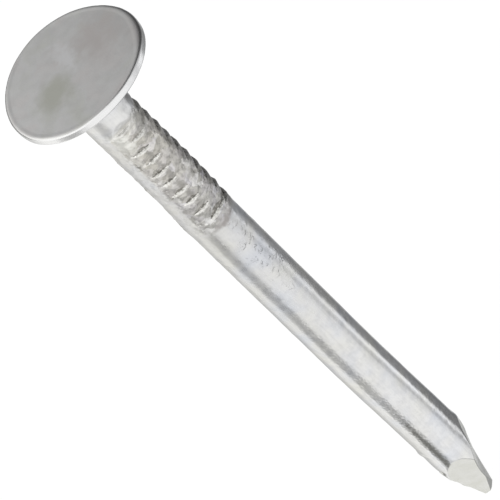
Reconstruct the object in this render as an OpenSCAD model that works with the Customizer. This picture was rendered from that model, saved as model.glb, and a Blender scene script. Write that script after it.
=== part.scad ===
// Galvanised clout nail: a flat-headed round-wire nail with grip marks on its neck and a diamond point.
// Millimetres. The shank's axis is Z, with the head at the top. The origin is on that axis, level with the
// underside of the head, where the head seats on what it fastens.
// A nail is one piece of wire. Its head, collar, neck, shank and point are separate solids that meet face to face.

/* [Shank] */
// Overall length, from the top of the head to the end of the point
nail_length = 40; // [30:1:60]
// Diameter of the shank over its zinc coat
shank_d = 2.8; // [2.4:0.05:3.4]

/* [Head] */
// Diameter of the head
head_d = 8.15; // [7:0.05:10]
// Thickness of the head
head_t = 0.48; // [0.4:0.02:1]
// Rounding of the rim's two edges
rim_r = 0.12; // [0.05:0.01:0.18]
// How far the head's centre is from the shank's axis, along X and Y
head_offset = [0.33, 0]; // [-0.5:0.01:0.5]

/* [Collar] */
// How much the gripped neck and the collar are thicker than the shank
neck_swell = 0.06; // [0.02:0.01:0.1]
// Radius of the fillet under the head
fillet_r = 0.4; // [0.1:0.05:0.6]
// Length of the smooth collar between the head and the grip marks
collar_length = 2.8; // [1:0.05:4]
// Length over which the neck narrows to the shank
neck_taper = 0.6; // [0.55:0.05:1]

/* [Grip marks] */
// Number of marks along the neck in each row
mark_count = 10; // [4:1:12]
// Distance from one mark to the next
mark_pitch = 0.885; // [0.7:0.005:1]
// Depth of a mark
mark_depth = 0.12; // [0.05:0.01:0.16]
// Depth of the marks at the two ends of a row
end_mark_depth = 0.15; // [0.05:0.01:0.18]
// Length of a mark's long flank, on the side of the head
long_flank = 0.6; // [0.2:0.02:0.6]
// Length of a mark's short flank, on the side of the point
short_flank = 0.08; // [0.06:0.02:0.2]
// How much lower every other row sits, as a part of the pitch
row_shift = 0.25; // [0:0.05:0.5]
// Direction that the front die presses from, turned from -Y towards +X
die_turn = 35; // [0:1:60]
// Angle from the front die's middle to each of its two rows of marks
front_spread = 45; // [35:1:50]
// Angle from the rear die's middle to each of its two rows of marks
rear_spread = 30; // [30:1:50]

/* [Point] */
// Slope of the front and rear facets from the axis
front_slope = 16.5; // [12:0.5:22]
// Slope of the two side facets from the axis, from the end of the point to its waist
side_slope = 7.5; // [5:0.5:12]
// Slope of the two side facets above the waist
upper_side_slope = 15.5; // [14:0.5:22]
// Height of the waist above the end of the point
waist_height = 2.5; // [1:0.1:3]
// Thickness of the point's end, between the front and rear facets
end_depth = 0.16; // [0.1:0.02:0.5]
// Width of the point's end, between the side facets, before it is bevelled
end_width = 0.66; // [0.4:0.02:0.8]
// Direction of the bevel on the end's right-hand side, turned from the front facet
bevel_turn = 54; // [40:1:90]
// Distance from the point's middle to the bevel, at the end
bevel_distance = 0.02; // [0:0.01:0.1]
// Slope of the bevel from the axis
bevel_slope = 25; // [20:1:40]
// How far the point's middle is from the shank's axis, along X and Y
point_offset = [-0.13, 0.14]; // [-0.2:0.01:0.2]
// Direction of the front facet, turned from -Y towards +X
facet_turn = -20; // [-45:1:45]
// Plain wire between the shank and the top of the longest facet
shoulder_length = 0.5; // [0.1:0.05:1]
// How much thinner the pinched wire is at the tip's end than at the shank
point_thinning = 0.06; // [0.02:0.02:0.1]

/* [Hidden] */
$fn = 96;
zinc = "gainsboro";
shank_r = shank_d / 2;
neck_r = shank_r + neck_swell / 2;
// Heights are counted down from the head's underside.
tip_z = head_t - nail_length;
waist_distance = end_width / 2 + waist_height * tan(side_slope);
facet_reach = shank_r + norm(point_offset);
front_facet = (facet_reach - end_depth / 2) / tan(front_slope);
side_facet = waist_height + (facet_reach - waist_distance) / tan(upper_side_slope);
point_length = max(side_facet, front_facet) + shoulder_length;
point_top = tip_z + point_length;
first_mark = -collar_length - long_flank;
marks_bottom = first_mark - (mark_count + row_shift - 0.5) * mark_pitch;
neck_bottom = marks_bottom - neck_taper;
front = -90;
reach = 2 * nail_length;

// Thin round disc with rounded rim edges, slightly off the shank's axis.
module head_disc() {
    translate([head_offset.x, head_offset.y, 0])
    rotate_extrude()
    union() {
        square([head_d / 2 - rim_r, head_t]);
        translate([0, rim_r])
            square([head_d / 2, head_t - 2 * rim_r]);
        for (z = [rim_r, head_t - rim_r])
            translate([head_d / 2 - rim_r, z])
                circle(r = rim_r);
    }
}

// The fillet in which the neck flares out to the head.
module fillet() {
    translate([0, 0, -fillet_r])
    rotate_extrude()
    difference() {
        square([neck_r + fillet_r, fillet_r]);
        translate([neck_r + fillet_r, 0])
            circle(r = fillet_r);
    }
}

// Flat head with its fillet. The ring left round the fillet is the seat.
module head() {
    color(zinc)
    union() {
        head_disc();
        fillet();
    }
}

// Smooth wire between the fillet and the grip marks.
module collar() {
    color(zinc)
    translate([0, 0, -collar_length])
        cylinder(r = neck_r, h = collar_length - fillet_r);
}

// Straight V cutter that runs across one side of the neck, with its edge at the stated depth.
module mark_cutter(depth) {
    translate([neck_r - depth, 0, 0])
    rotate([90, 0, 0])
    linear_extrude(height = 2 * neck_r, center = true)
        polygon([[0, 0], [2 * depth, 2 * long_flank], [2 * depth, -2 * short_flank]]);
}

// One row of marks, facing the stated direction and moved down by the stated part of a pitch.
module mark_row(turn, shift) {
    rotate([0, 0, front + turn])
    for (i = [0 : mark_count - 1])
        translate([0, 0, first_mark - (i + shift) * mark_pitch])
            mark_cutter(depth_of(i));
}

function depth_of(i) = i == 0 || i == mark_count - 1 ? end_mark_depth : mark_depth;

// Neck held by the heading dies, whose teeth leave a row of marks on each side.
module grip_neck() {
    color(zinc)
    difference() {
        union() {
            translate([0, 0, marks_bottom])
                cylinder(r = neck_r, h = -collar_length - marks_bottom);
            translate([0, 0, neck_bottom])
                cylinder(r1 = shank_r, r2 = neck_r, h = neck_taper);
        }
        mark_row(die_turn - front_spread, 0);
        mark_row(die_turn + front_spread, row_shift);
        mark_row(die_turn + 180 - rear_spread, 0);
        mark_row(die_turn + 180 + rear_spread, row_shift);
    }
}

// Plain round wire.
module shank() {
    color(zinc)
    translate([0, 0, point_top])
        cylinder(r = shank_r, h = neck_bottom - point_top);
}

// Distance of a side facet from the point's middle, at a height above the end.
function side_distance(height) =
    height < waist_height
        ? end_width / 2 + height * tan(side_slope)
        : waist_distance + (height - waist_height) * tan(upper_side_slope);

// Everything outside a plane that passes a little off the point's middle and slopes from the axis.
module outside(distance, slope) {
    translate([distance, -reach / 2, 0])
    rotate([0, slope, 0])
    translate([0, 0, -reach / 2])
        cube(reach);
}

// Everything outside a side facet, which is hollow: it bends outwards at the waist.
module outside_side_facet() {
    bottom = -1;
    top = point_length + 1;
    rotate([90, 0, 0])
    linear_extrude(height = reach, center = true)
        polygon([
            [side_distance(bottom), bottom],
            [waist_distance, waist_height],
            [side_distance(top), top],
            [reach, top],
            [reach, bottom]
        ]);
}

// Diamond point: wire thinned a little by pinching, cut by four facets, its blunt end bevelled to an edge.
module point() {
    color(zinc)
    difference() {
        translate([0, 0, tip_z])
            cylinder(r1 = shank_r - point_thinning / 2, r2 = shank_r, h = point_length);
        translate([point_offset.x, point_offset.y, tip_z])
        rotate([0, 0, front + facet_turn]) {
            for (turn = [0, 180]) {
                rotate([0, 0, turn])
                    outside(end_depth / 2, front_slope);
                rotate([0, 0, turn + 90])
                    outside_side_facet();
            }
            rotate([0, 0, bevel_turn])
                outside(bevel_distance, bevel_slope);
        }
    }
}

head();
collar();
grip_neck();
shank();
point();
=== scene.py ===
"""Galvanised clout nail: its looks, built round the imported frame, in metres.

+Z runs from the point to the head, and -Y is the front. A turn is an angle about the shank's axis, from -Y
towards +X. Each zone of the nail is a closed mesh of rings that run down from the head. Neighbouring zones
share a ring of vertices and its normals, so no seam shows.
"""
import itertools
import math
from collections import namedtuple

import bpy
import numpy as np
from mathutils import Matrix, Vector


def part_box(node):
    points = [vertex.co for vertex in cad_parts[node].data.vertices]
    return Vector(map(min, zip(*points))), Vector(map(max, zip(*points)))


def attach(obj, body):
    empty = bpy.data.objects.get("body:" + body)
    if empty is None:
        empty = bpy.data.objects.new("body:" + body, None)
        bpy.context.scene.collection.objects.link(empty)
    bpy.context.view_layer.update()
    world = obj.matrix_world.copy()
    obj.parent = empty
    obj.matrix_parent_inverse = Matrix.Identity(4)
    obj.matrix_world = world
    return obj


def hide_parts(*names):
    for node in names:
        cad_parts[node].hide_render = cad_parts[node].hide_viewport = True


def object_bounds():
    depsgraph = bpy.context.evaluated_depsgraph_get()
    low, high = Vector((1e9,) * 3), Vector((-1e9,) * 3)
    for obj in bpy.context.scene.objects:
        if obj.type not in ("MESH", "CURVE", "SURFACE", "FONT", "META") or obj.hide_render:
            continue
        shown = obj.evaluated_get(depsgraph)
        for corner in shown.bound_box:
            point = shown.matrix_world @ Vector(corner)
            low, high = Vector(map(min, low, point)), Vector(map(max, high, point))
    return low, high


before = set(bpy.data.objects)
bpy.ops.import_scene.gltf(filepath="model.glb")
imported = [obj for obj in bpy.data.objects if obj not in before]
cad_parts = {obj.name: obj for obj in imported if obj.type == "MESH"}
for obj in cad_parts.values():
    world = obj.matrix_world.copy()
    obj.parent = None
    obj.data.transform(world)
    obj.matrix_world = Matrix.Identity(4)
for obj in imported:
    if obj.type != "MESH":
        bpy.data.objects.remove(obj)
cad_low, cad_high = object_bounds()

MM = 0.001
FAR = 1.0


def mm(*values):
    """Millimetres as metres."""
    return tuple(value * MM for value in values)


# ---------------------------------------------------------------- sizes

# What the frame gives.
head_low, head_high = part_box("head")
collar_low, collar_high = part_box("collar")
neck_low, neck_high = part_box("grip_neck")
shank_low, shank_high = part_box("shank")
point_low, point_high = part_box("point")
HEAD_R = (head_high.x - head_low.x) / 2
HEAD_MIDDLE = ((head_high.x + head_low.x) / 2, (head_high.y + head_low.y) / 2)
NECK_R = (collar_high.y - collar_low.y) / 2
SHANK_R = (shank_high.y - shank_low.y) / 2

# Head: a face sunk a little inside its lip, a rounded rim, and the fillet round the neck.
RIM_R = 0.12 * MM
FACE_DIP = 0.006 * MM
LIP_WIDTH = 0.2 * MM
FILLET_R = -head_low.z
# How far in from the rim the face rounds off, and how much further it does near one turn, with its spread in
# radians.
TOP_ROUND = 0.19 * MM
WIDER_ROUND = 0.14 * MM
WIDER_TURN = 68
WIDER_SPREAD = 0.36
# A struck head is a little out of round, by (lobes, front-to-back part, left-to-right part).
OUT_OF_ROUND = [(2, 0.05 * MM, 0.035 * MM), (3, -0.075 * MM, -0.02 * MM)]

# Grip marks: each is a V with a long flank towards the head and a short one towards the point.
MARK_COUNT = 10
MARK_PITCH = 0.885 * MM
MARK_DEPTH = 0.12 * MM
END_MARK_DEPTH = 0.15 * MM
LONG_FLANK = 0.6 * MM
SHORT_FLANK = 0.08 * MM
FIRST_MARK = neck_high.z - LONG_FLANK
LAST_MARK = FIRST_MARK - (MARK_COUNT - 1) * MARK_PITCH
NECK_TAPER = 0.6 * MM
# Height of the lip that a tooth raises below its mark, and how sharp the mark's creases are.
MARK_LIP = 0.022 * MM
MARK_SHARPNESS = 220
# The turn of the dies' middle, and the shape of their teeth: 1 is straight, and less curves round the wire.
DIE_TURN = 30
DIE_WRAP = 0.86
# Rows of marks: (turn, how much lower the row sits in pitches, how many degrees each mark swings aside).
STRAIGHT = (0,) * MARK_COUNT
CROOKED = (8, 18, 2, 8, -5, 0, -3, 5, 9, 29)
GRIP_ROWS = [(-10, 0, CROOKED), (80, 0.25, STRAIGHT), (185, 0, STRAIGHT), (245, 0.25, STRAIGHT)]
# Shallow grooves that carry the marks on round the right-hand side, gentler above than below.
GROOVE_DEPTHS = mm(0.07, 0.07, 0.04, 0.04, 0.055, 0.055, 0.03, 0.045, 0, 0.11)
GROOVE_TURN = 45
GROOVE_ABOVE = 0.2 * MM
GROOVE_BELOW = 0.08 * MM

# Point: four facets and a bevel. Each of these flats has a turn from the front facet, a distance from the
# point's middle at the tip, a slope in degrees from the axis, another above the waist, and lumps. A lump is
# (height above the tip, half its length, how far it stands out).
Flat = namedtuple("Flat", "turn distance slope upper_slope lumps")
FACET_TURN = -20
POINT_MIDDLE = np.array([-0.13, 0.14]) * MM
WAIST_HEIGHT = 2.5 * MM
WAIST_ROUND = 0.3 * MM
TIP_ROUND = 0.06 * MM
POINT_SHARPNESS = 90
FRONT = Flat(0, 0.08 * MM, 16.5, 16.5, [])
RIGHT = Flat(90, 0.33 * MM, 7.5, 15.5, [mm(4.5, 0.6, 0.085)])
REAR = Flat(180, 0.08 * MM, 16.5, 16.5, [])
LEFT = Flat(270, 0.33 * MM, 7.5, 15.5, [mm(3.72, 0.14, 0.1), mm(2.0, 0.35, 0.07)])
BEVEL = Flat(54, 0.02 * MM, 25, 25, [])
# Low burrs that the pointing dies raise at both sides, and a nick below the left one: (turn, height above the
# tip, half its length, half its width in radians, how far it stands out).
NICK_HEIGHT = 3.87 * MM
BURRS = [
    (-90, 5.65 * MM, 0.2 * MM, 0.35, 0.055 * MM),
    (90, 5.8 * MM, 0.4 * MM, 0.4, 0.04 * MM),
    (-70, NICK_HEIGHT, 0.16 * MM, 0.16, -0.06 * MM),
]

# How far the wire strays to the right, at the neck and at the point: (distance, height where it starts to,
# height where it has).
NECK_BOW = 0.09 * MM
POINT_BOW = 0.13 * MM
BENDS = [(NECK_BOW, *mm(-12.3, -9)), (POINT_BOW, *mm(-25, -35))]

# Soft spots on the zinc: their middle, their reach along each axis, and the grain of their uneven edges.
Spot = namedtuple("Spot", "middle reach grain")
OLIVE_STAIN = Spot(mm(-1.0, -0.4, 0), (*mm(1.5, 1.5), FAR), 1.2 * MM)
RED_STAIN = Spot(mm(2.2, 0.3, 0), (*mm(1.9, 2.1), FAR), 0.8 * MM)
# Painted highlight: a pale patch on the head's face.
PAINTED_FACE_HIGHLIGHT = Spot(mm(0.6, 1.2, 0), (*mm(0.8, 1.7), FAR), 0.4 * MM)
# Painted shade: the collar's right-hand side, darkened where its reflection is dark.
PAINTED_COLLAR_SHADE = Spot(mm(1.38, -0.55, -1.6), mm(0.75, 1.0, 2.4), 0.4 * MM)
PALE_SHOULDER = Spot(mm(-0.5, -1.25, -3.9), mm(0.75, 0.8, 1.8), 0.3 * MM)
# Painted shade: the neck's right shoulder below the head, where the wire tilts down and reflects darker
# walls.
PAINTED_SHOULDER_SHADE = Spot(mm(1.0, -1.0, -3.8), mm(0.95, 1.1, 1.5), 0.35 * MM)
# A darker strip down the front of the neck.
DARK_FRONT_STRIP = Spot(mm(0.1, -1.42, -8.2), mm(0.24, 0.5, 4.5), 0.2 * MM)
DIRTY_END = Spot(mm(0.4, -1.3, -12.12), mm(0.9, 0.8, 0.42), 0.25 * MM)
PITTED_TOP = Spot(mm(0.45, -1.25, -15.4), mm(1.0, 0.9, 3.6), 0.5 * MM)
PITTED_STREAK = Spot(mm(-0.68, -1.2, -28.5), mm(0.38, 0.5, 13.0), 0.3 * MM)
# Painted shade: a dark streak on the left near the point, darkening the zinc where its reflection is dark.
PAINTED_DARK_STREAK = Spot(mm(-0.65, -1.16, -33.4), mm(0.22, 0.4, 5.0), 0.12 * MM)
# Painted shade: a dark band down the right near the point, darkening the zinc where its reflection is dark.
PAINTED_DARK_EDGE = Spot(mm(1.5, -0.3, -32.0), mm(0.45, 0.8, 6.4), 0.15 * MM)
# Painted shade: a darker patch on the front right near the point, where its reflection is dark.
PAINTED_DARK_SPOT = Spot(mm(1.13, -0.98, -33.6), mm(0.45, 0.5, 4.5), 0.3 * MM)
# Painted shade: the nick's hollow is painted near-black.
NICK_SHADE = Spot((*mm(-1.16, -0.49), point_low.z + NICK_HEIGHT), mm(0.2, 0.2, 0.4), 0.1 * MM)

# Meshes: columns round the nail, the height of a row in each zone, and the rings of each part of the head.
COLUMNS = 256
FINE_ROW = 0.035 * MM
SHANK_ROW = 0.07 * MM
POINT_ROW = 0.03 * MM
TIP_RINGS = 9
FACE_RINGS = 82
ROUNDING_RINGS = 11
EDGE_RINGS = 3
UNDERSIDE_RINGS = 24
FILLET_RINGS = 12

TURNS = np.linspace(0, 2 * math.pi, COLUMNS, endpoint=False)
OUTWARD = np.stack([np.sin(TURNS), -np.cos(TURNS)], axis=-1)
# Random values along each side of the block that noise repeats.
LATTICE = 64
# A flat or a tooth cuts only the columns that face it, by a cosine of more than this.
LEAST_FACING = 0.01
# A flat never cuts closer to the point's centre than this.
LEAST_REACH = 0.01 * MM


# ---------------------------------------------------------------- shape helpers

def smooth_step(start, end, value):
    """0 before start, 1 after end, and an even curve between them."""
    share = np.clip((value - start) / (end - start), 0, 1)
    return share * share * (3 - 2 * share)


def hump(value, centre, width):
    """A smooth bump of height 1 at the centre."""
    return np.exp(-(((value - centre) / width) ** 2))


def soft_min(distances, sharpness):
    """The smallest of several distances, with the crease between them rounded."""
    powers = [(distance / NECK_R) ** -sharpness for distance in distances]
    return NECK_R * sum(powers) ** (-1 / sharpness)


def noise(points, size, seed):
    """Smooth random values between -1 and 1 at the points, with features of about the stated size."""
    lattice = np.random.default_rng(seed).uniform(-1, 1, (LATTICE,) * 3)
    cells = points / size
    corner = np.floor(cells).astype(int)
    share = cells - corner
    share = share * share * (3 - 2 * share)
    total = np.zeros(points.shape[:-1])
    for step in itertools.product((0, 1), repeat=3):
        weight = np.prod(np.where(step, share, 1 - share), axis=-1)
        i, j, k = np.moveaxis((corner + step) % LATTICE, -1, 0)
        total += weight * lattice[i, j, k]
    return total


def on_wire(heights):
    """Points of the plain wire's surface at the heights, as rows of a ring each."""
    rings = np.empty((len(heights), COLUMNS, 3))
    rings[..., :2] = SHANK_R * OUTWARD
    rings[..., 2] = heights[:, None]
    return rings


def turn_from(degrees):
    """How far each column is turned from a direction, in radians from -pi to pi."""
    return (TURNS - math.radians(degrees) + math.pi) % (2 * math.pi) - math.pi


# ---------------------------------------------------------------- the wire's surface

def zinc_lumps(heights):
    """Height of the zinc's lumps over the wire: coarse near the neck, fine and low towards the point."""
    places = on_wire(heights)
    near_neck = smooth_step(neck_low.z - 9 * MM, neck_low.z, heights)[:, None]
    wave_height = 0.006 * MM
    ripple_height = (0.0012 + 0.002 * near_neck) * MM
    blob_height = (0.01 + 0.03 * near_neck) * MM
    waves = wave_height * noise(places * (1, 1, 0.6), 0.5 * MM, seed=1)
    ripples = ripple_height * noise(places, 0.18 * MM, seed=2)
    blobs = blob_height * np.clip(noise(places, 0.3 * MM, seed=3) - 0.4, 0, 1)
    return waves + ripples + blobs


def mark_depth(number):
    """The marks at the two ends of a row are the deepest."""
    return END_MARK_DEPTH if number in (0, MARK_COUNT - 1) else MARK_DEPTH


def crushed(heights):
    """Unevenness of the metal that the dies have crushed. Two narrow strips between the dies stay smooth."""
    places = on_wire(heights)
    along = smooth_step(LAST_MARK - 0.5 * MM, LAST_MARK, heights)
    along = along * smooth_step(FIRST_MARK + LONG_FLANK, FIRST_MARK + 0.3 * LONG_FLANK, heights)
    held = smooth_step(0.25, 0.5, np.abs(np.cos(turn_from(DIE_TURN))))
    dents = 0.02 * MM * noise(places * (1, 1, 0.7), 0.34 * MM, seed=5)
    small_dents = 0.011 * MM * noise(places, 0.16 * MM, seed=6)
    return (dents + small_dents) * along[:, None] * held


def press_mark(radius, heights, turn, middle, depth, tilt):
    """The wire's radius after one tooth has pressed its slanted V into it. Zinc beads the V's edges."""
    aside = turn_from(turn)
    facing = np.maximum(np.cos(DIE_WRAP * aside), LEAST_FACING)
    offset = heights[:, None] - middle - tilt * NECK_R * np.sin(aside)
    flank = np.where(offset > 0, LONG_FLANK, SHORT_FLANK)
    beads = 0.012 * MM * noise(on_wire(heights), 0.13 * MM, seed=8)
    opening = (depth + beads) * (1 - np.abs(offset) / flank)
    chord = np.where(np.cos(aside) > 0, (NECK_R - opening) / facing, FAR)
    half_width = math.acos(1 - depth / NECK_R) / DIE_WRAP
    lip = MARK_LIP * hump(offset, -1.8 * SHORT_FLANK, 0.06 * MM) * hump(aside, 0, half_width)
    return soft_min([radius + lip, chord], MARK_SHARPNESS)


def press_row(radius, heights, turn, shift, swings, draws):
    """The wire's radius after one row of die teeth, each of which may swing to one side."""
    for number, swing in enumerate(swings):
        depth = mark_depth(number) * draws.uniform(0.93, 1.07)
        middle = FIRST_MARK - (number + shift + draws.uniform(-0.05, 0.05)) * MARK_PITCH
        tilt = math.tan(math.radians(draws.uniform(-3, 3)))
        aside = turn + swing + draws.uniform(-2, 2)
        radius = press_mark(radius, heights, aside, middle, depth, tilt)
    return radius


def ring_grooves(heights):
    """Depth of the shallow, beaded grooves that carry the marks on round the right-hand side."""
    right_side = hump(turn_from(GROOVE_TURN), 0, 1.0)
    beads = 1 + 0.5 * noise(on_wire(heights), 0.14 * MM, seed=9)
    depth = np.zeros((len(heights), COLUMNS))
    for number, deepest in enumerate(GROOVE_DEPTHS):
        offset = heights[:, None] - (FIRST_MARK - number * MARK_PITCH)
        width = np.where(offset > 0, GROOVE_ABOVE, GROOVE_BELOW)
        depth += deepest * hump(offset, 0, width) * right_side * beads
    return depth


def point_burr(heights):
    """Height of the burrs that the pointing dies raise, less the depth of the nick."""
    above_tip = (heights - point_low.z)[:, None]
    height = np.zeros((len(heights), COLUMNS))
    for turn, middle, half_length, half_width, thickness in BURRS:
        height += thickness * hump(above_tip, middle, half_length) * hump(turn_from(turn), 0, half_width)
    return height


def wire_radius(heights):
    """Distance from the wire's centre to its surface, one row for each height."""
    taper = smooth_step(neck_low.z, neck_low.z + NECK_TAPER, heights)[:, None]
    radius = SHANK_R + (NECK_R - SHANK_R) * taper + zinc_lumps(heights)
    radius = radius + crushed(heights) + point_burr(heights) - ring_grooves(heights)
    draws = np.random.default_rng(7)
    for turn, shift, swings in GRIP_ROWS:
        radius = press_row(radius, heights, turn, shift, swings, draws)
    return radius


def bow(heights):
    """How far the wire's centre strays to the right: where the dies pushed the neck, and near the point."""
    return sum(distance * smooth_step(start, end, heights) for distance, start, end in BENDS)


def rings_from(centres, radius, heights):
    """Rings of vertices round the centres, shifted by the wire's bow."""
    rings = np.empty((len(heights), COLUMNS, 3))
    rings[..., :2] = centres + radius[..., None] * OUTWARD
    rings[..., 0] += bow(heights)[:, None]
    rings[..., 2] = heights[:, None]
    return rings


def wire_rings(heights, flare=0.0):
    """Rings of the wire, wider by the flare."""
    return rings_from(np.zeros(2), wire_radius(heights) + flare, heights)


# ---------------------------------------------------------------- the point

def direction(degrees):
    """Unit vector at a turn about the axis."""
    return np.array([math.sin(math.radians(degrees)), -math.cos(math.radians(degrees))])


def flat_distance(flat, above_tip):
    """Distance of a sloping flat from the point's middle, at heights above the tip."""
    past_waist = above_tip - WAIST_HEIGHT
    past_waist = (past_waist + np.sqrt(past_waist ** 2 + WAIST_ROUND ** 2)) / 2
    slope = math.tan(math.radians(flat.slope))
    bend = math.tan(math.radians(flat.upper_slope)) - slope
    return flat.distance + above_tip * slope + past_waist * bend


def point_centres(above_tip):
    """A centre inside each section of the point, from the shank's axis to the middle of the bevelled end."""
    length = point_high.z - point_low.z
    share = smooth_step(0.15 * length, length, above_tip)[:, None]
    aside = np.minimum(flat_distance(BEVEL, above_tip) - flat_distance(RIGHT, above_tip), 0) / 2
    return POINT_MIDDLE * (1 - share) + aside[:, None] * direction(FACET_TURN + 90)


def to_wire(centres, radius):
    """Distance from each centre to the wire's round surface, in each column's direction."""
    along = centres @ OUTWARD.T
    squared = np.sum(centres ** 2, axis=-1)[:, None]
    return np.sqrt(along ** 2 - squared + radius ** 2) - along


def to_flat(centres, flat, above_tip, unevenness):
    """Distance from each centre to a flat, in each column's direction."""
    way = direction(FACET_TURN + flat.turn)
    distance = flat_distance(flat, above_tip) + (POINT_MIDDLE - centres) @ way
    facing = OUTWARD @ way
    reach = np.maximum(distance[:, None] + unevenness, LEAST_REACH) / np.maximum(facing, LEAST_FACING)
    return np.where(facing > LEAST_FACING, reach, FAR)


def point_rings(heights):
    """Rings of the diamond point: the wire cut by flats, whose lumps fade to the rear, and a rounded tip."""
    above_tip = heights - point_low.z
    centres = point_centres(above_tip)
    places = on_wire(heights)
    in_front = smooth_step(-0.4, 0.05, np.cos(TURNS))
    reach = [to_wire(centres, wire_radius(heights))]
    for number, flat in enumerate((FRONT, RIGHT, REAR, LEFT, BEVEL)):
        unevenness = 0.004 * MM * noise(places, 0.4 * MM, seed=20 + number)
        for middle, half_length, thickness in flat.lumps:
            unevenness += thickness * hump(above_tip, middle, half_length)[:, None] * in_front
        reach.append(to_flat(centres, flat, above_tip, unevenness))
    # The last ring keeps a little width, so that the cap that closes it has no folded faces.
    rounding = np.sqrt(1 - (1 - np.clip(above_tip / TIP_ROUND, 0.02, 1)) ** 2)
    radius = soft_min(reach, POINT_SHARPNESS) * rounding[:, None]
    return rings_from(centres[:, None, :], radius, heights)


# ---------------------------------------------------------------- the head

def disc_ring(distance, height):
    """One ring of the head's disc, centred on the head."""
    ring = np.empty((COLUMNS, 3))
    ring[:, :2] = distance[:, None] * OUTWARD + HEAD_MIDDLE
    ring[:, 2] = height
    return ring


def head_edge():
    """Distance from the head's middle to the outside of its rim."""
    places = disc_ring(np.full(COLUMNS, HEAD_R), 0)
    waves = 0.012 * MM * noise(places, 1.6 * MM, seed=31)
    ripples = 0.005 * MM * noise(places, 0.4 * MM, seed=32)
    edge = HEAD_R + (waves + ripples)
    for lobes, along, across in OUT_OF_ROUND:
        edge += along * np.cos(lobes * TURNS) + across * np.sin(lobes * TURNS)
    return edge


def face_ring(distance, edge):
    """One ring of the struck face, which dips inside its lip and is faintly uneven."""
    ring = disc_ring(distance, head_high.z)
    inside_lip = 1 - smooth_step(edge - LIP_WIDTH, edge, distance)
    waves = 0.004 * MM * (noise(ring, 1.3 * MM, seed=33) - 1)
    ripples = 0.0015 * MM * noise(ring, 0.4 * MM, seed=34)
    ring[:, 2] += (waves + ripples - FACE_DIP) * inside_lip
    return ring


def rim_ring(edge, width, angle, middle):
    """One ring of the rim, at an angle above the level round the middle of a rounding of the stated width."""
    ring = disc_ring(edge - width * (1 - math.cos(angle)), middle + RIM_R * math.sin(angle))
    dents = 0.015 * MM * np.clip(noise(ring, 0.25 * MM, seed=35) - 0.3, 0, 1)
    ring[:, :2] -= (dents * math.cos(angle))[:, None] * OUTWARD
    return ring


def rings_between(outer, inner, count):
    """Rings spaced evenly between two others, without either of them."""
    return [outer + (inner - outer) * share for share in np.linspace(0, 1, count + 2)[1:-1]]


def head_rings():
    """Rings of the head, from the middle of its face, round the rim and along its underside to the fillet."""
    edge = head_edge()
    round_width = TOP_ROUND + WIDER_ROUND * hump(turn_from(WIDER_TURN), 0, WIDER_SPREAD)
    face_edge = edge - round_width
    shares = np.linspace(0, 1, FACE_RINGS + 2)[1:-1]
    rings = [face_ring(face_edge * share, face_edge) for share in shares]
    quarter = np.radians(np.linspace(90, 0, ROUNDING_RINGS))
    rings += [rim_ring(edge, round_width, angle, head_high.z - RIM_R) for angle in quarter]
    rings += rings_between(rings[-1], rim_ring(edge, RIM_R, 0, RIM_R), EDGE_RINGS)
    rings += [rim_ring(edge, RIM_R, -angle, RIM_R) for angle in quarter[::-1]]
    fillet_heights = np.linspace(0, head_low.z, FILLET_RINGS)
    flare = FILLET_R - np.sqrt(FILLET_R ** 2 - (fillet_heights + FILLET_R) ** 2)
    fillet = wire_rings(fillet_heights, flare[:, None])
    rings += rings_between(rings[-1], fillet[0], UNDERSIDE_RINGS)
    return np.concatenate([np.stack(rings), fillet])


# ---------------------------------------------------------------- meshes

def heights_between(high, low, row):
    """Evenly spaced heights from high to low, about one row apart, with one more beyond each end."""
    count = max(2, round((high - low) / row))
    step = (high - low) / count
    return high - step * np.arange(-1, count + 2)


def grid_normals(rings):
    """Unit normals of a tube of rings, from its neighbours up, down and to both sides."""
    down = np.gradient(rings, axis=0)
    right = np.roll(rings, -1, axis=1) - np.roll(rings, 1, axis=1)
    normals = np.cross(down, right)
    return normals / np.linalg.norm(normals, axis=-1, keepdims=True)


def tube_mesh(name, rings, normals):
    """Closed mesh of rings that run down from cap to cap. The caps are flat fans round a middle vertex."""
    rows = len(rings)
    index = np.arange(rows * COLUMNS).reshape(rows, COLUMNS)
    after = np.roll(index, -1, axis=1)
    sides = np.stack([index[:-1], index[1:], after[1:], after[:-1]], axis=-1).reshape(-1, 4)
    top, bottom = rows * COLUMNS, rows * COLUMNS + 1
    faces = sides.tolist()
    faces += [(top, first, second) for first, second in zip(index[0].tolist(), after[0].tolist())]
    faces += [(bottom, second, first) for first, second in zip(index[-1].tolist(), after[-1].tolist())]
    middles = [rings[0].mean(axis=0), rings[-1].mean(axis=0)]
    vertices = np.concatenate([rings.reshape(-1, 3), middles])

    mesh = bpy.data.meshes.new(name)
    mesh.from_pydata(vertices.tolist(), [], faces)
    mesh.update()
    mesh.shade_smooth()
    flat_up = np.tile((0.0, 0.0, 1.0), (3 * COLUMNS, 1))
    corners = np.concatenate([normals.reshape(-1, 3)[sides.ravel()], flat_up, -flat_up])
    mesh.normals_split_custom_set(corners.tolist())
    return mesh


def add_zone(node, rings, normals, material):
    """The piece that stands for one CAD node, riding on the nail's one body."""
    name = f"nail_{node}"
    piece = bpy.data.objects.new(name, tube_mesh(name, rings, normals))
    bpy.context.scene.collection.objects.link(piece)
    piece.data.materials.append(material)
    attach(piece, "root")
    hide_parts(node)


def add_head():
    """The head ends on the collar's first ring, so its last normals use the collar's second one."""
    rings = head_rings()
    below = wire_rings(np.array([head_low.z - FINE_ROW]))
    normals = grid_normals(np.concatenate([rings, below]))
    add_zone("head", rings, normals[:-1], head_zinc())


def add_wire_zone(node, high, low, row, material):
    """A zone of the wire between two heights."""
    rings = wire_rings(heights_between(high, low, row))
    normals = grid_normals(rings)
    add_zone(node, rings[1:-1], normals[1:-1], material)


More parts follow.
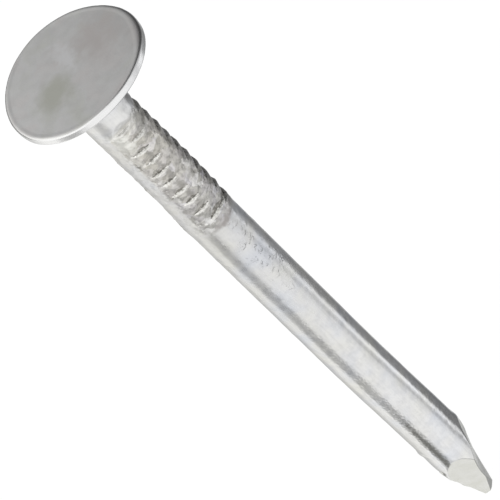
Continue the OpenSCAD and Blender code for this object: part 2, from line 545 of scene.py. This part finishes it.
def add_point():
    """The point's rings are closer together where the tip rounds off."""
    high, low = point_high.z, point_low.z
    body = heights_between(high, low + TIP_ROUND, POINT_ROW)[:-1]
    tip = low + TIP_ROUND * (1 - np.sin(np.linspace(0, math.pi / 2, TIP_RINGS + 1)[1:]))
    rings = point_rings(np.concatenate([body, tip]))
    normals = grid_normals(rings)
    add_zone("point", rings[1:], normals[1:], point_zinc())


# ---------------------------------------------------------------- material helpers

def add_node(tree, kind, inputs=None, **settings):
    """A new node. Each input is a value or another node's output."""
    made = tree.nodes.new(kind)
    for name, value in settings.items():
        setattr(made, name, value)
    for key, value in (inputs or {}).items():
        if isinstance(value, bpy.types.NodeSocket):
            tree.links.new(value, made.inputs[key])
        else:
            made.inputs[key].default_value = value
    return made


def grey(value):
    """A neutral colour."""
    return (value, value, value, 1)


def ramp(tree, factor, stops):
    """A colour ramp with stops of (place, colour)."""
    made = add_node(tree, "ShaderNodeValToRGB", {"Fac": factor})
    elements = made.color_ramp.elements
    while len(elements) < len(stops):
        elements.new(0.5)
    for element, (place, _) in zip(elements, stops):
        element.position = place
    for element, (_, colour) in zip(elements, stops):
        element.color = colour
    return made.outputs["Color"]


def mix(tree, factor, first, second, blend="MIX"):
    """Two colours mixed, or blended in another way, by the factor."""
    inputs = {"Fac": factor, "Color1": first, "Color2": second}
    return add_node(tree, "ShaderNodeMixRGB", inputs, blend_type=blend).outputs["Color"]


def product(tree, first, *others):
    """Colours multiplied together."""
    for other in others:
        first = mix(tree, 1.0, first, other, "MULTIPLY")
    return first


def remap(tree, value, from_low, from_high, to_low, to_high, smooth=False):
    """A value carried from one range to another."""
    inputs = {0: value, 1: from_low, 2: from_high, 3: to_low, 4: to_high}
    kind = "SMOOTHSTEP" if smooth else "LINEAR"
    return add_node(tree, "ShaderNodeMapRange", inputs, interpolation_type=kind).outputs[0]


def math_node(tree, operation, first, second=0.0):
    """One sum on two values."""
    return add_node(tree, "ShaderNodeMath", {0: first, 1: second}, operation=operation).outputs[0]


def specks(tree, places, size, detail=2.0):
    """Noise from 0 to 1 with features of about the stated size."""
    inputs = {"Vector": places, "Scale": 1 / size, "Detail": detail}
    return add_node(tree, "ShaderNodeTexNoise", inputs).outputs["Fac"]


def stretched(tree, places, along):
    """Places pulled together along the wire, so that a pattern on them runs as lines down the nail."""
    return add_node(tree, "ShaderNodeMapping", {"Vector": places, "Scale": (1, 1, along)}).outputs[0]


def bump(tree, height, depth, normal=None):
    """The surface normal, disturbed by a height of the stated depth in metres."""
    inputs = {"Height": height, "Distance": depth, "Strength": 1.0}
    if normal is not None:
        inputs["Normal"] = normal
    return add_node(tree, "ShaderNodeBump", inputs).outputs[0]


def new_metal(name):
    """A material with a bare metal shader. Returns it with its tree, its shader and places on the nail."""
    material = bpy.data.materials.new(name)
    material.use_nodes = True
    tree = material.node_tree
    shader = tree.nodes["Principled BSDF"]
    shader.inputs["Metallic"].default_value = 1.0
    places = add_node(tree, "ShaderNodeTexCoord").outputs["Object"]
    return material, tree, shader, places


def connect(tree, shader, colour, roughness, normal):
    """Joins the three varying channels to the shader."""
    tree.links.new(colour, shader.inputs["Base Color"])
    tree.links.new(roughness, shader.inputs["Roughness"])
    tree.links.new(normal, shader.inputs["Normal"])


def split(tree, places):
    """The three coordinates of a place."""
    return add_node(tree, "ShaderNodeSeparateXYZ", {0: places}).outputs


def vector_node(tree, operation, first, second=(0, 0, 0)):
    """One sum on two vectors."""
    return add_node(tree, "ShaderNodeVectorMath", {0: first, 1: second}, operation=operation).outputs


def distance_from_wire(tree, places, bow):
    """Distance from the middle of the wire, where it has strayed to the right by its bow."""
    offset = vector_node(tree, "SUBTRACT", places, (bow, 0, 0))[0]
    level = vector_node(tree, "MULTIPLY", offset, (1, 1, 0))[0]
    return vector_node(tree, "LENGTH", level)["Value"]


def upward(tree):
    """How far the surface faces up, from -1 to 1."""
    return split(tree, add_node(tree, "ShaderNodeNewGeometry").outputs["Normal"])["Z"]


def spot(tree, places, where):
    """1 in the middle of a soft spot with an uneven edge, and 0 beyond its reach along each axis."""
    offset = vector_node(tree, "SUBTRACT", places, where.middle)[0]
    offset = vector_node(tree, "DIVIDE", offset, where.reach)[0]
    uneven = remap(tree, specks(tree, places, where.grain, 3), 0.3, 0.7, -0.3, 0.3)
    away = math_node(tree, "ADD", vector_node(tree, "LENGTH", offset)["Value"], uneven)
    return remap(tree, away, 1, 0.15, 0, 1, smooth=True)


def stained(tree, places, colour, stains):
    """A colour with soft spots of other colours on it, given as pairs of a spot and its colour."""
    for where, stain in stains:
        colour = mix(tree, spot(tree, places, where), colour, stain)
    return colour


# ---------------------------------------------------------------- materials

def head_zinc():
    """Matt grey zinc on the struck face, brighter and smoother where it wraps round the rim."""
    material, tree, shader, places = new_metal("head_zinc")
    # Painted shade: the face's colour darkens from left to right.
    across = ramp(tree, remap(tree, split(tree, places)["X"], head_low.x, head_high.x, 0, 1), [
        (0.05, grey(0.87)),
        (0.45, grey(0.80)),
        (0.75, grey(0.78)),
        (0.95, grey(0.68)),
    ])
    patches = ramp(tree, specks(tree, places, 1.5 * MM, 3), [
        (0.32, (0.96, 0.965, 0.93, 1)),
        (0.50, (1.0, 1.0, 1.0, 1)),
        (0.68, (1.0, 0.975, 0.97, 1)),
    ])
    clouds = ramp(tree, specks(tree, places, 0.6 * MM, 4), [(0.32, grey(0.94)), (0.6, grey(1.0))])
    face = stained(tree, places, product(tree, across, patches, clouds), [
        (OLIVE_STAIN, (0.66, 0.665, 0.61, 1)),
        (RED_STAIN, (0.69, 0.66, 0.65, 1)),
        # painted highlight on the face
        (PAINTED_FACE_HIGHLIGHT, (0.86, 0.86, 0.87, 1)),
    ])
    facing_up = upward(tree)
    colour = mix(tree, remap(tree, facing_up, 0.985, 0.8, 0, 1), face, grey(0.92))
    roughness = remap(tree, facing_up, 0.99, 0.93, 0.44, 0.26)
    grain = bump(tree, specks(tree, places, 0.12 * MM, 4), 0.004 * MM)
    connect(tree, shader, colour, roughness, grain)
    return material


def wire_colour(tree, places):
    """Bright zinc with cloudy patches and fine drawing lines along the wire, duller towards the neck."""
    height = split(tree, places)["Z"]
    bright = ramp(tree, remap(tree, height, head_low.z, point_high.z, 0, 1), [
        (0.0, grey(1.04)),
        (0.07, grey(1.02)),
        (0.12, grey(0.92)),
        (0.37, grey(0.92)),
        (1.0, grey(1.0)),
    ])
    tints = ramp(tree, specks(tree, places, 1.6 * MM), [
        (0.3, (0.81, 0.83, 0.87, 1)),
        (0.5, (0.86, 0.86, 0.86, 1)),
        (0.7, (0.87, 0.865, 0.83, 1)),
    ])
    clouds = ramp(tree, specks(tree, places, 0.4 * MM, 4), [(0.32, grey(0.90)), (0.6, grey(1.0))])
    lines = specks(tree, stretched(tree, places, 0.05), 0.09 * MM, 3)
    lines = ramp(tree, lines, [(0.35, grey(0.96)), (0.55, grey(1.0))])
    return stained(tree, places, product(tree, tints, bright, clouds, lines), [
        # painted shade on the collar's right
        (PAINTED_COLLAR_SHADE, (0.57, 0.57, 0.57, 1)),
        # painted shade near the point
        (PAINTED_DARK_SPOT, (0.59, 0.59, 0.59, 1)),
        # painted shade: dark band on the right near the point
        (PAINTED_DARK_EDGE, (0.54, 0.55, 0.56, 1)),
        # painted shade: dark streak near the point
        (PAINTED_DARK_STREAK, (0.34, 0.34, 0.32, 1)),
    ])


def wire_bump(tree, places):
    """Fine lumps in the zinc, the drawing lines under it, and flecks and pits on two parts of the front."""
    lines = specks(tree, stretched(tree, places, 0.03), 0.09 * MM, 3)
    flecks = math_node(tree, "SUBTRACT", specks(tree, places, 0.14 * MM, 2), 0.5)
    flecks = math_node(tree, "MULTIPLY", spot(tree, places, PITTED_STREAK), flecks)
    pits = remap(tree, specks(tree, places, 0.26 * MM, 2), 0.55, 0.66, 0, 1, smooth=True)
    pits = math_node(tree, "MULTIPLY", spot(tree, places, PITTED_TOP), pits)
    lumps = specks(tree, places, 0.14 * MM, 3)
    normal = bump(tree, lines, 0.0015 * MM)
    normal = bump(tree, flecks, 0.024 * MM, normal)
    normal = bump(tree, pits, 0.03 * MM, normal)
    return bump(tree, lumps, 0.005 * MM, normal)


def wire_roughness(tree, places):
    """Glossy near the point, duller up the wire where the zinc froze lumpy, and dullest under the head."""
    height = split(tree, places)["Z"]
    even = remap(tree, height, point_high.z, neck_low.z, 0.12, 0.31)
    at_head = remap(tree, height, collar_low.z, collar_low.z + MM, 0, 0.13, smooth=True)
    spread = remap(tree, specks(tree, places, 0.4 * MM, 3), 0.3, 0.7, -0.04, 0.06)
    return math_node(tree, "ADD", math_node(tree, "ADD", even, at_head), spread)


def wire_zinc():
    """Hot-dip zinc on drawn wire."""
    material, tree, shader, places = new_metal("wire_zinc")
    connect(tree, shader, wire_colour(tree, places), wire_roughness(tree, places), wire_bump(tree, places))
    return material


def cell_values(tree, places, size):
    """Uneven patches, each with its own even value from 0 to 1. Noise bends the edges of plain cells."""
    bent = add_node(tree, "ShaderNodeTexNoise", {"Vector": places, "Scale": 1 / size, "Detail": 2.0})
    push = vector_node(tree, "SUBTRACT", bent.outputs["Color"], (0.5, 0.5, 0.5))[0]
    push = vector_node(tree, "MULTIPLY", push, (1.2 * size,) * 3)[0]
    moved = vector_node(tree, "ADD", places, push)[0]
    cells = add_node(tree, "ShaderNodeTexVoronoi", {"Vector": moved, "Scale": 1 / size})
    return split(tree, cells.outputs["Color"])["X"]


def held_by_dies(tree, places):
    """1 where the dies pressed on the neck, less on the strips between them, and 0 beyond the marks."""
    centred = vector_node(tree, "SUBTRACT", places, (NECK_BOW, 0, 0))[0]
    forward = vector_node(tree, "DOT_PRODUCT", centred, (*direction(DIE_TURN), 0))["Value"]
    forward = math_node(tree, "ABSOLUTE", forward)
    sides = remap(tree, forward, 0.25 * NECK_R, 0.42 * NECK_R, 0.3, 1, smooth=True)
    height = split(tree, places)["Z"]
    above = remap(tree, height, neck_high.z, neck_high.z - 0.9 * MM, 0, 1, smooth=True)
    taper_low = neck_low.z + 0.3 * MM
    taper_high = neck_low.z + NECK_TAPER + 0.2 * MM
    below = remap(tree, height, taper_low, taper_high, 0, 1, smooth=True)
    return math_node(tree, "MULTIPLY", sides, math_node(tree, "MULTIPLY", above, below))


def crushed_colour(tree, places):
    """Dull and pale patches of crushed zinc, warmer and paler towards the head, and mottled."""
    patches = ramp(tree, cell_values(tree, places, 0.45 * MM), [
        (0.0, (0.50, 0.49, 0.465, 1)),
        (0.3, (0.74, 0.725, 0.69, 1)),
        (0.55, (0.63, 0.61, 0.605, 1)),
        (0.8, (0.88, 0.87, 0.85, 1)),
        (1.0, (0.77, 0.755, 0.785, 1)),
    ])
    up_the_neck = remap(tree, split(tree, places)["Z"], LAST_MARK, FIRST_MARK + LONG_FLANK, 0, 1)
    warmth = ramp(tree, up_the_neck, [
        (0.0, (0.98, 0.985, 0.99, 1)),
        (0.5, (1.0, 0.99, 0.965, 1)),
        (0.75, (1.08, 1.065, 1.02, 1)),
        (1.0, (1.1, 1.095, 1.04, 1)),
    ])
    mottle = ramp(tree, specks(tree, places, 0.26 * MM, 3), [(0.36, grey(0.72)), (0.54, grey(1.0))])
    return stained(tree, places, product(tree, patches, warmth, mottle), [
        (DARK_FRONT_STRIP, (0.46, 0.445, 0.42, 1)),
        (PALE_SHOULDER, (0.93, 0.925, 0.88, 1)),
        # painted shade on the right shoulder
        (PAINTED_SHOULDER_SHADE, (0.46, 0.45, 0.42, 1)),
    ])


def marked_colour(tree, places, colour):
    """Dirt and painted shade in the bottoms and creases of the marks, least in the first one, painted
    highlights on the lips, and burnished ridges.
    """
    height = split(tree, places)["Z"]
    below_first = remap(tree, height, FIRST_MARK, FIRST_MARK - 1.8 * MARK_PITCH, 0.15, 1)
    # Dirt and painted shade darken the bottoms of the marks.
    out = distance_from_wire(tree, places, NECK_BOW)
    sunk = remap(tree, out, NECK_R - 0.07 * MM, NECK_R - 0.095 * MM, 0, 1, smooth=True)
    dirt_and_shade = ramp(tree, specks(tree, places, 0.15 * MM, 2), [
        (0.45, (0.30, 0.29, 0.265, 1)),
        (0.66, (0.62, 0.60, 0.57, 1)),
    ])
    colour = mix(tree, math_node(tree, "MULTIPLY", sunk, below_first), colour, dirt_and_shade)

    # Painted highlight: flanks of the marks that face up are painted paler.
    lip_highlight = remap(tree, upward(tree), 0.35, 0.62, 0, 1, smooth=True)
    beads = ramp(tree, specks(tree, places, 0.12 * MM, 2), [
        (0.38, (0.66, 0.65, 0.61, 1)),
        (0.56, (0.98, 0.97, 0.93, 1)),
    ])
    colour = mix(tree, lip_highlight, colour, beads)

    # Dirt and painted shade: concave creases are painted near-black.
    sharpness = add_node(tree, "ShaderNodeNewGeometry").outputs["Pointiness"]
    patchy = remap(tree, specks(tree, places, 0.2 * MM, 2), 0.35, 0.6, 0.5, 1)
    crease = math_node(tree, "MULTIPLY", remap(tree, sharpness, 0.49, 0.468, 0, 1), patchy)
    crease = math_node(tree, "MULTIPLY", crease, below_first)
    colour = mix(tree, crease, colour, (0.15, 0.145, 0.13, 1))
    ridge = math_node(tree, "MULTIPLY", remap(tree, sharpness, 0.515, 0.54, 0, 1), patchy)
    return mix(tree, ridge, colour, (0.95, 0.94, 0.91, 1))


def gripped_zinc():
    """Zinc crushed by the dies, with painted shade at the right, and plain zinc where the dies didn't touch
    the wire.
    """
    material, tree, shader, places = new_metal("gripped_zinc")
    held = held_by_dies(tree, places)
    # Painted shade: the pressed zinc darkens towards the neck's right edge.
    painted_right_shade = remap(tree, split(tree, places)["X"], 0.75 * NECK_R, 1.05 * NECK_R, 1, 0.75)
    pressed = product(tree, marked_colour(tree, places, crushed_colour(tree, places)), painted_right_shade)
    colour = mix(tree, held, wire_colour(tree, places), pressed)
    colour = stained(tree, places, colour, [(DIRTY_END, (0.50, 0.475, 0.46, 1))])
    duller = math_node(tree, "MULTIPLY", held, 0.08)
    roughness = math_node(tree, "ADD", wire_roughness(tree, places), duller)
    lumps = math_node(tree, "MULTIPLY", held, specks(tree, places, 0.3 * MM, 3))
    connect(tree, shader, colour, roughness, bump(tree, lumps, 0.06 * MM, wire_bump(tree, places)))
    return material


def point_zinc():
    """The wire's zinc, matt and slightly warm on the pinched facets."""
    material, tree, shader, places = new_metal("point_zinc")
    out = distance_from_wire(tree, places, POINT_BOW)
    on_facets = remap(tree, out, SHANK_R - 0.015 * MM, SHANK_R - 0.04 * MM, 0, 1)
    facets = ramp(tree, specks(tree, places, 0.7 * MM, 3), [
        (0.3, (0.83, 0.83, 0.78, 1)),
        (0.7, (0.90, 0.90, 0.87, 1)),
    ])
    colour = mix(tree, on_facets, wire_colour(tree, places), facets)
    # painted shade in the nick
    colour = stained(tree, places, colour, [(NICK_SHADE, (0.14, 0.135, 0.115, 1))])
    roughness = mix(tree, on_facets, wire_roughness(tree, places), grey(0.27))
    connect(tree, shader, colour, roughness, wire_bump(tree, places))
    return material


# ---------------------------------------------------------------- studio

# Brightness of the studio's walls at each height, as stops of (turn in degrees, brightness).
WALLS = {
    "zenith": [
        (-180, 0.4), (-100, 0.7), (-40, 1.0), (0, 1.0), (40, 0.4), (60, 0.12), (150, 0.1), (180, 0.4),
    ],
    "upper": [
        (-180, 0.6), (-150, 1.0), (-110, 1.1), (-50, 1.05), (-15, 0.9), (30, 0.9),
        (58, 0.6), (88, 0.5), (108, 0.05), (155, 0.06), (180, 0.6),
    ],
    "level": [
        (-180, 0.16), (-130, 0.2), (-100, 1.0), (-50, 1.05), (-15, 0.9), (30, 0.9),
        (58, 0.6), (88, 0.5), (110, 0.1), (180, 0.16),
    ],
    "lower": [
        (-180, 0.5), (-140, 0.62), (-114, 0.94), (-94, 0.96), (-89, 1.15), (-83, 0.46), (-52, 0.44),
        (-40, 0.94), (0, 0.95), (30, 0.93), (52, 0.8), (58, 0.58), (70, 0.6), (77, 1.12), (86, 1.12),
        (93, 0.27), (146, 0.23), (156, 0.6), (170, 0.85), (180, 0.7),
    ],
    "nadir": [
        (-150, 0.6), (-130, 0.85), (-50, 0.85), (-35, 0.45), (40, 0.4), (155, 0.3), (170, 0.2),
    ],
}


def wall(tree, azimuth, height):
    """Brightness of the studio's wall all round the nail at one height."""
    return ramp(tree, azimuth, [(turn / 360 + 0.5, grey(value)) for turn, value in WALLS[height]])


def add_studio():
    """Soft studio walls: a big light to the upper left, pale cards in front, and darker ones at the right."""
    world = bpy.data.worlds.new("studio")
    bpy.context.scene.world = world
    world.use_nodes = True
    tree = world.node_tree
    way = add_node(tree, "ShaderNodeTexCoord").outputs["Generated"]
    x, y, z = list(split(tree, way))
    angle = math_node(tree, "ARCTAN2", x, math_node(tree, "MULTIPLY", y, -1))
    azimuth = remap(tree, angle, -math.pi, math.pi, 0, 1)

    straight_up = remap(tree, z, 0.8, 0.9, 0, 1, smooth=True)
    above = mix(tree, straight_up, wall(tree, azimuth, "upper"), wall(tree, azimuth, "zenith"))
    down_to_level = remap(tree, z, 0.5, 0.2, 0, 1, smooth=True)
    light = mix(tree, down_to_level, above, wall(tree, azimuth, "level"))
    down_to_lower = remap(tree, z, -0.1, -0.35, 0, 1, smooth=True)
    light = mix(tree, down_to_lower, light, wall(tree, azimuth, "lower"))
    straight_down = remap(tree, z, -0.84, -0.9, 0, 1, smooth=True)
    light = mix(tree, straight_down, light, wall(tree, azimuth, "nadir"))
    tint = ramp(tree, azimuth, [
        (0.22, (1.0, 0.997, 0.98, 1)),
        (0.5, (1.0, 1.0, 1.0, 1)),
        (0.66, (0.985, 0.99, 1.0, 1)),
    ])
    light = product(tree, light, tint)
    seen = add_node(tree, "ShaderNodeLightPath").outputs["Is Camera Ray"]
    colour = mix(tree, seen, light, grey(1.0))
    tree.links.new(colour, tree.nodes["Background"].inputs["Color"])


def add_floor():
    """Pale, glowing floor under the point. It stays out of the nail's reflections and casts no shadow."""
    reach = 2.0
    mesh = bpy.data.meshes.new("floor")
    corners = [(-reach, -reach, 0), (reach, -reach, 0), (reach, reach, 0), (-reach, reach, 0)]
    mesh.from_pydata(corners, [], [(0, 1, 2, 3)])
    floor = bpy.data.objects.new("floor", mesh)
    floor.location = (0, 0, point_low.z)
    bpy.context.scene.collection.objects.link(floor)
    material = bpy.data.materials.new("pale_floor")
    material.use_nodes = True
    tree = material.node_tree
    paint = add_node(tree, "ShaderNodeBsdfDiffuse", {"Color": grey(0.2)})
    glow = add_node(tree, "ShaderNodeEmission", {"Color": grey(0.9)})
    both = add_node(tree, "ShaderNodeAddShader", {0: paint.outputs[0], 1: glow.outputs[0]})
    tree.links.new(both.outputs[0], tree.nodes["Material Output"].inputs["Surface"])
    mesh.materials.append(material)
    floor.visible_glossy = False
    floor.visible_shadow = False


def add_camera():
    """A long lens, 40 degrees above the head, rolled so that the nail lies across the frame."""
    elevation = math.radians(39.92)
    roll = math.radians(45.68)
    forward = Vector((0, math.cos(elevation), -math.sin(elevation)))
    level_up = Vector((0, math.sin(elevation), math.cos(elevation)))
    across = Vector((1, 0, 0))
    right = math.cos(roll) * across - math.sin(roll) * level_up
    up = math.sin(roll) * across + math.cos(roll) * level_up
    middle = Vector((0, 0, (cad_low.z + cad_high.z) / 2))
    distance = 307.4 * MM
    moved_left = 1.955 * MM
    moved_up = 2.14 * MM
    place = middle - distance * forward - moved_left * right + moved_up * up

    data = bpy.data.cameras.new("camera")
    data.sensor_width = 36
    data.lens = 432
    data.clip_start = 0.01
    data.clip_end = 10
    camera = bpy.data.objects.new("camera", data)
    bpy.context.scene.collection.objects.link(camera)
    turned = Matrix((right, up, -forward)).transposed().to_4x4()
    camera.matrix_world = Matrix.Translation(place) @ turned
    bpy.context.scene.camera = camera


# ---------------------------------------------------------------- the scene

bpy.context.scene.view_settings.view_transform = "Standard"
add_camera()
add_studio()
add_floor()

add_head()
wire = wire_zinc()
add_wire_zone("collar", collar_high.z, collar_low.z, FINE_ROW, wire)
add_wire_zone("grip_neck", neck_high.z, neck_low.z, FINE_ROW, gripped_zinc())
add_wire_zone("shank", shank_high.z, shank_low.z, SHANK_ROW, wire)
add_point()
